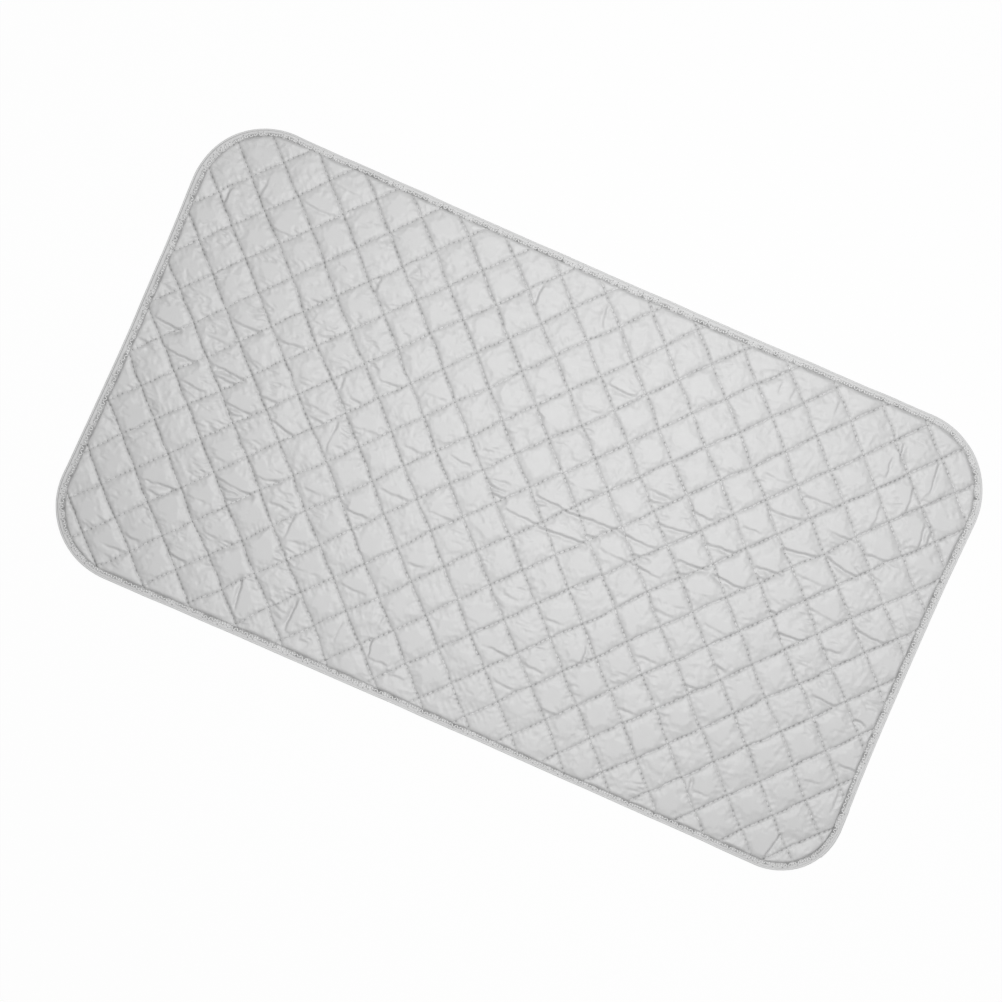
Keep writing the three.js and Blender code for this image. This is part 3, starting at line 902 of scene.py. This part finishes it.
def zigzag_mesh(sizes, upward, sides):
    """Points, faces and painted shade of the zigzag thread that sews the binding down: dark where it goes
    into the needle holes.
    """
    phase = np.arange(THREAD_STEPS_A_ZIGZAG * zigzag_count(sizes)) / THREAD_STEPS_A_ZIGZAG
    along = phase * edge_length(sizes) / zigzag_count(sizes)
    edge, outward = edge_walk(sizes, along)
    swing = zigzag_swing(sizes, phase)
    lapped = np.where(along < sizes.tape_lap, LAP_RISE * sizes.tape_thickness, 0)
    level = leg_height(swing) + lapped + (0.1 - 0.4 * needle_share(phase)) * MM
    place = edge - outward * (leg_inset(sizes, edge, swing) + tape_wander(edge))[:, None]
    flip = 1 if upward else -1
    path = np.column_stack([place, sizes.mid_plane + flip * level])
    ahead = np.gradient(path, axis=0)
    side = np.column_stack([-ahead[:, 1], ahead[:, 0], np.zeros(len(path))])
    side /= np.linalg.norm(side, axis=1, keepdims=True)
    points, faces = tube(path, side, SEAM_HALF_WIDTH, SEAM_HALF_HEIGHT, sides)
    # Painted shade where the thread goes down into the needle holes.
    return points, faces, np.repeat(0.85 * needle_share(phase), sides)


# Shaders

class Signal:
    """An output socket of a material's nodes, for use in Python expressions on values."""

    def __init__(self, tree, socket=None):
        self.tree = tree
        self.socket = socket

    def node(self, kind, settings, inputs, output=0):
        """The chosen output of a new node of this kind, set up first and then fed."""
        made = self.tree.nodes.new(kind)
        for name, value in settings.items():
            setattr(made, name, value)
        for name, value in inputs.items():
            if isinstance(value, Signal):
                self.tree.links.new(value.socket, made.inputs[name])
            else:
                made.inputs[name].default_value = value
        return Signal(self.tree, made.outputs[output])

    def math(self, operation, first, second=0.0):
        """A Math node on two values."""
        return self.node("ShaderNodeMath", {"operation": operation}, {0: first, 1: second})

    def __add__(self, other):
        return self.math("ADD", self, other)

    __radd__ = __add__

    def __sub__(self, other):
        return self.math("SUBTRACT", self, other)

    def __rsub__(self, other):
        return self.math("SUBTRACT", other, self)

    def __mul__(self, other):
        return self.math("MULTIPLY", self, other)

    __rmul__ = __mul__

    def sine(self):
        """The sine of a value."""
        return self.math("SINE", self)

    def noise(self, scale, detail):
        """Noise from 0 to 1 at the place that this vector gives."""
        return self.node("ShaderNodeTexNoise", {}, {"Vector": self, "Scale": scale, "Detail": detail})

    def scaled(self, factor):
        """This colour or vector, multiplied by a value."""
        return self.node("ShaderNodeVectorMath", {"operation": "SCALE"}, {0: self, "Scale": factor})

    def tint(self, amount, dark, light):
        """A colour between dark and light by an amount."""
        settings = {"data_type": "RGBA", "clamp_factor": True}
        return self.node("ShaderNodeMix", settings, {0: amount, 6: (*dark, 1), 7: (*light, 1)}, output=2)

    def relief(self, height, distance):
        """A normal bumped by a height from 0 to 1."""
        return self.node("ShaderNodeBump", {}, {"Height": height, "Distance": distance, "Strength": 1.0})


def shaded(colour_value, factor):
    """A colour made darker or lighter by a factor."""
    return tuple(min(1.0, channel * factor) for channel in colour_value)


def cloth_material(name, colour_value, variation, yarn, bump, constants):
    """A woven cloth: yarns over and under along the pad's axes, with soft patches of tone and roughness,
    and its colour darkened by the painted shade stored at its points.
    """
    material = bpy.data.materials.new(name)
    material.use_nodes = True
    tree = material.node_tree
    surface = tree.nodes["Principled BSDF"]
    for socket, value in constants.items():
        surface.inputs[socket].default_value = value
    start = Signal(tree)
    place = start.node("ShaderNodeTexCoord", {}, {}, output="Object")
    parts = [start.node("ShaderNodeSeparateXYZ", {}, {0: place}, output=k) for k in range(3)]
    turns = 2 * math.pi / yarn
    weave = (parts[0] * turns).sine() * (parts[1] * turns).sine() * 0.5 + 0.5
    patch_scale, grain_scale, dull_scale, shade_strength = 28.0, 900.0, 160.0, 0.8
    patches = place.noise(patch_scale, 3.0)
    grain = place.noise(grain_scale, 2.0)
    # The point value named shade is painted shade, on threads mixed with random tone; it darkens the colour
    # below.
    dark = start.node("ShaderNodeAttribute", {"attribute_name": "shade"}, {}, output="Fac")
    tone = patches * 0.7 + grain * 0.3
    ends = [shaded(colour_value, 1 - variation), shaded(colour_value, 1 + variation)]
    colour_signal = start.tint(tone, *ends).scaled(1.0 - dark * shade_strength)
    roughness = constants["Roughness"] + 0.12 * (place.noise(dull_scale, 2.0) - 0.5)
    height = weave * 0.6 + grain * 0.4
    tree.links.new(colour_signal.socket, surface.inputs["Base Color"])
    tree.links.new(roughness.socket, surface.inputs["Roughness"])
    tree.links.new(start.relief(height, bump).socket, surface.inputs["Normal"])
    return material


@functools.lru_cache(maxsize=None)
def silver_cloth():
    """The coated face cloth."""
    looks = looks_now()
    constants = {"Metallic": looks.silver_metal, "Roughness": looks.silver_roughness}
    return cloth_material("silver_cloth", looks.silver, 0.04, 0.6 * MM, 0.05 * MM, constants)


# Other woven materials: colour setting, share by which the tone varies, yarn and relief in millimetres,
# and roughness.
WEAVES = {
    "backing_cloth": ("backing", 0.06, 0.8, 0.08, 0.85),
    "binding_tape": ("tape", 0.05, 0.7, 0.06, 0.7),
    "wadding_fibre": ("wadding", 0.08, 2.2, 0.3, 0.95),
    "sewing_thread": ("thread", 0.06, 0.5, 0.05, 0.55),
    "seam_thread": ("seam_thread", 0.06, 0.5, 0.05, 0.6),
}


@functools.lru_cache(maxsize=None)
def woven(name):
    """The backing, tape, wadding or thread material of this name."""
    setting, variation, yarn, relief, roughness = WEAVES[name]
    constants = {"Roughness": roughness}
    return cloth_material(name, getattr(looks_now(), setting), variation, yarn * MM, relief * MM, constants)


def floor_material():
    """The white studio floor: it shows white to the eye and keeps some of the pad's shadow."""
    material = bpy.data.materials.new("studio_floor")
    material.use_nodes = True
    tree = material.node_tree
    surface = tree.nodes["Principled BSDF"]
    surface.inputs["Base Color"].default_value = (0.9, 0.9, 0.9, 1)
    surface.inputs["Roughness"].default_value = 0.9
    start = Signal(tree)
    seen = white_rays(start)
    glow = start.node("ShaderNodeEmission", {}, {"Color": (1, 1, 1, 1), "Strength": 1.0})
    paint = Signal(tree, surface.outputs[0])
    glow_share = 0.96
    mixed = start.node("ShaderNodeMixShader", {}, {0: seen * glow_share, 1: paint, 2: glow})
    tree.links.new(mixed.socket, tree.nodes["Material Output"].inputs["Surface"])
    return material


def white_rays(start):
    """1 for rays that show the background to the camera, in gloss or through glass, and 0 for light."""
    rays = [start.node("ShaderNodeLightPath", {}, {}, output=name)
            for name in ("Is Camera Ray", "Is Glossy Ray", "Is Transmission Ray")]
    return start.math("MINIMUM", rays[0] + rays[1] + rays[2], 1.0)


# Operators

class PadOperator:
    """What the pad's operators share."""

    bl_options = {"REGISTER", "UNDO"}


# The lap of the tape stands under the flat underside, and the floor lies below both.
FLOOR_DROP = 0.62 * MM
FLOOR_REACH = 30.0


class IRONPAD_OT_stage(PadOperator, bpy.types.Operator):
    """Makes the white floor, the soft key lamp, the even light and the camera"""

    bl_idname = "ironpad.stage"
    bl_label = "Studio stage"

    def execute(self, context):
        scene = context.scene
        studio = scene.studio_settings
        scene.view_settings.view_transform = "Standard"
        self.add_floor(scene)
        self.add_lamp(scene, studio)
        self.add_sky(scene, studio)
        self.add_camera(scene, studio)
        return {"FINISHED"}

    def add_floor(self, scene):
        """A flat floor just under the pad."""
        half = FLOOR_REACH
        level = CAD_BOX[0].z - FLOOR_DROP
        corners = [(-half, -half, level), (half, -half, level), (half, half, level), (-half, half, level)]
        mesh = bpy.data.meshes.new("studio_floor")
        mesh.from_pydata(corners, [], [(0, 1, 2, 3)])
        mesh.materials.append(floor_material())
        floor = bpy.data.objects.new("studio_floor", mesh)
        scene.collection.objects.link(floor)

    def add_lamp(self, scene, studio):
        """A round lamp above the far long side."""
        lamp = bpy.data.lights.new("key_lamp", "POINT")
        lamp.energy = studio.lamp_power
        lamp.shadow_soft_size = studio.lamp_size
        stand = bpy.data.objects.new("key_lamp", lamp)
        stand.location = studio.lamp_place
        scene.collection.objects.link(stand)

    def add_sky(self, scene, studio):
        """Even light from all round, seen as white."""
        world = bpy.data.worlds.new("studio_sky")
        world.use_nodes = True
        scene.world = world
        tree = world.node_tree
        sky = tree.nodes["Background"]
        sky.inputs["Color"].default_value = (1, 1, 1, 1)
        start = Signal(tree)
        strength = studio.sky + (1 - studio.sky) * white_rays(start)
        tree.links.new(strength.socket, sky.inputs["Strength"])

    def add_camera(self, scene, studio):
        """A long lens straight above the pad, turned to the picture's angle."""
        camera = bpy.data.cameras.new("camera")
        camera.lens = studio.lens
        camera.sensor_width = 36.0
        height = studio.view_width * camera.lens / camera.sensor_width
        across = (math.cos(studio.camera_turn), math.sin(studio.camera_turn))
        stand = bpy.data.objects.new("camera", camera)
        stand.location = (
            -studio.centre_right * across[0] + studio.centre_up * across[1],
            -studio.centre_right * across[1] - studio.centre_up * across[0],
            height + scene.pad_sizes.mid_plane,
        )
        stand.rotation_euler = (0.0, 0.0, studio.camera_turn)
        scene.collection.objects.link(stand)
        scene.camera = stand


class IRONPAD_OT_wadding(PadOperator, bpy.types.Operator):
    """Makes the soft core between the cloths"""

    bl_idname = "ironpad.wadding"
    bl_label = "Wadding"

    def execute(self, context):
        sizes = context.scene.pad_sizes
        sides = []
        for quilt, upward in ((face_quilt(), True), (back_quilt(), False)):
            every = quilt.steps // WADDING_STEPS
            low = lowest_near(quilt.z, every)
            x, y, z, inside = (values[::every, ::every] for values in (quilt.x, quilt.y, low, quilt.inside))
            height = np.maximum(z - 0.1 * MM, 0.05 * MM)
            sides.append((x, y, sizes.mid_plane + (height if upward else -height), inside))
        squares = kept_squares(sides[0][3] & sides[1][3])
        used, faces = np.unique(squares, return_inverse=True)
        faces = faces.reshape(-1, 4)
        rim = np.bincount(faces.ravel()) < 4
        layers = []
        for x, y, z, _ in sides:
            x, y, z = (values.ravel()[used] for values in (x, y, z))
            x[rim], y[rim] = onto_outline(sizes, x[rim], y[rim], sizes.layer_inset + 0.3 * MM)
            layers.append(np.stack([x, y, z], -1))
        count = len(used)
        walls = wall_faces(faces, count)
        every_face = np.concatenate([faces, faces[:, ::-1] + count, walls])
        points = np.concatenate(layers)
        faces = every_face.tolist()
        piece = make_piece("wadding_core", points, faces, woven("wadding_fibre"), ["wadding"])
        return {"FINISHED"}


def lowest_near(values, reach):
    """The lowest value within reach points of each point of a lattice, along both directions."""
    for _ in range(2):
        padded = np.pad(values, ((reach, reach), (0, 0)), mode="edge")
        values = np.min([padded[k:k + len(values)] for k in range(2 * reach + 1)], axis=0).T
    return values


def wall_faces(faces, count):
    """Faces that close the rim between a layer and its copy, which is numbered count higher."""
    starts = faces.ravel()
    ends = np.roll(faces, -1, axis=1).ravel()
    forward = starts * count + ends
    backward = ends * count + starts
    rim = ~np.isin(forward, backward)
    return np.stack([ends[rim], starts[rim], starts[rim] + count, ends[rim] + count], -1)


class IRONPAD_OT_face_cloth(PadOperator, bpy.types.Operator):
    """Makes the quilted silver cloth of the face"""

    bl_idname = "ironpad.face_cloth"
    bl_label = "Face cloth"

    def execute(self, context):
        sizes = context.scene.pad_sizes
        points, faces, shade = sheet_points(sizes, face_quilt(), True)
        cloth = silver_cloth()
        piece = make_piece("quilted_face_cloth", points, faces, cloth, ["face_cloth"])
        finish_cloth(sizes, piece, shade)
        return {"FINISHED"}


class IRONPAD_OT_backing_cloth(PadOperator, bpy.types.Operator):
    """Makes the quilted plain cloth of the back"""

    bl_idname = "ironpad.backing_cloth"
    bl_label = "Backing cloth"

    def execute(self, context):
        sizes = context.scene.pad_sizes
        points, faces, shade = sheet_points(sizes, back_quilt(), False)
        slot = "backing_cloth"
        piece = make_piece("quilted_backing_cloth", points, faces, woven(slot), ["backing_cloth"])
        finish_cloth(sizes, piece, shade)
        return {"FINISHED"}


def finish_cloth(sizes, piece, shade):
    """Gives a quilted cloth its map and shade."""
    add_flat_map(sizes, piece)
    add_shade(piece, shade)
    corners = sum((1 - math.pi / 4) * (radius - sizes.layer_inset) ** 2 for radius in sizes.corner_radii)


class IRONPAD_OT_edge_binding(PadOperator, bpy.types.Operator):
    """Makes the tape that is folded over the pad's edge"""

    bl_idname = "ironpad.edge_binding"
    bl_label = "Edge binding"

    def execute(self, context):
        sizes = context.scene.pad_sizes
        points, faces, shade = tape_mesh(sizes)
        tape = woven("binding_tape")
        piece = make_piece("folded_edge_binding", points, faces, tape, ["edge_binding"])
        add_shade(piece, shade)
        edge_length(sizes) + sizes.tape_lap
        return {"FINISHED"}


class IRONPAD_OT_binding_seams(PadOperator, bpy.types.Operator):
    """Makes the zigzag threads that sew the binding down, on the face and on the back"""

    bl_idname = "ironpad.binding_seams"
    bl_label = "Binding seams"

    def execute(self, context):
        sizes = context.scene.pad_sizes
        for name, node, upward, sides in (("zigzag_seam_face", "binding_seam_face", True, 6),
                                          ("zigzag_seam_back", "binding_seam_back", False, 5)):
            points, faces, shade = zigzag_mesh(sizes, upward, sides)
            piece = make_piece(name, points, faces, woven("seam_thread"), [node])
            add_shade(piece, shade)
        return {"FINISHED"}


class IRONPAD_OT_quilting_rows(PadOperator, bpy.types.Operator):
    """Makes the lockstitched rows: a thread on the face and one on the back for each"""

    bl_idname = "ironpad.quilting_rows"
    bl_label = "Quilting rows"

    def execute(self, context):
        sizes = context.scene.pad_sizes
        names = sorted(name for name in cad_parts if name.startswith("quilting_thread_"))
        for name in names:
            family = name[-3]
            number = int(name[-2:]) - CELLS_EACH_WAY
            threads = [
                stitch_thread(sizes, face_quilt(), family, number, True, 6),
                stitch_thread(sizes, back_quilt(), family, number, False, 5),
            ]
            points, faces = join_parts([thread[:2] for thread in threads])
            row = "stitch_row_" + name[-3:]
            piece = make_piece(row, points, faces, woven("sewing_thread"), [name])
            add_shade(piece, np.concatenate([thread[2] for thread in threads]))
        return {"FINISHED"}


class IRONPAD_PT_panel(bpy.types.Panel):
    """Lists the pad's pieces and sizes in the sidebar"""

    bl_idname = "IRONPAD_PT_panel"
    bl_label = "Ironing pad"
    bl_space_type = "VIEW_3D"
    bl_region_type = "UI"
    bl_category = "Ironing pad"

    def draw(self, context):
        layout = self.layout
        for operator in OPERATORS:
            layout.operator(operator.bl_idname)
        for group in (context.scene.pad_sizes, context.scene.pad_looks, context.scene.studio_settings):
            box = layout.box()
            for name in group.__annotations__:
                box.prop(group, name)


GROUPS = {"pad_sizes": PadSizes, "pad_looks": PadLooks, "studio_settings": StudioSettings}
OPERATORS = [
    IRONPAD_OT_stage,
    IRONPAD_OT_wadding,
    IRONPAD_OT_face_cloth,
    IRONPAD_OT_backing_cloth,
    IRONPAD_OT_edge_binding,
    IRONPAD_OT_binding_seams,
    IRONPAD_OT_quilting_rows,
]


def register():
    """Registers the classes and gives the scene its settings."""
    for name, group in GROUPS.items():
        bpy.utils.register_class(group)
        setattr(bpy.types.Scene, name, bpy.props.PointerProperty(type=group))
    for made in OPERATORS + [IRONPAD_PT_panel]:
        bpy.utils.register_class(made)


def unregister():
    """Takes the classes and the scene's settings away again."""
    for made in reversed(OPERATORS + [IRONPAD_PT_panel]):
        bpy.utils.unregister_class(made)
    for name, group in GROUPS.items():
        delattr(bpy.types.Scene, name)
        bpy.utils.unregister_class(group)


def main():
    register()
    bpy.ops.ironpad.stage()
    bpy.ops.ironpad.wadding()
    bpy.ops.ironpad.face_cloth()
    bpy.ops.ironpad.backing_cloth()
    bpy.ops.ironpad.edge_binding()
    bpy.ops.ironpad.binding_seams()
    bpy.ops.ironpad.quilting_rows()


if __name__ == "__main__":
    main()
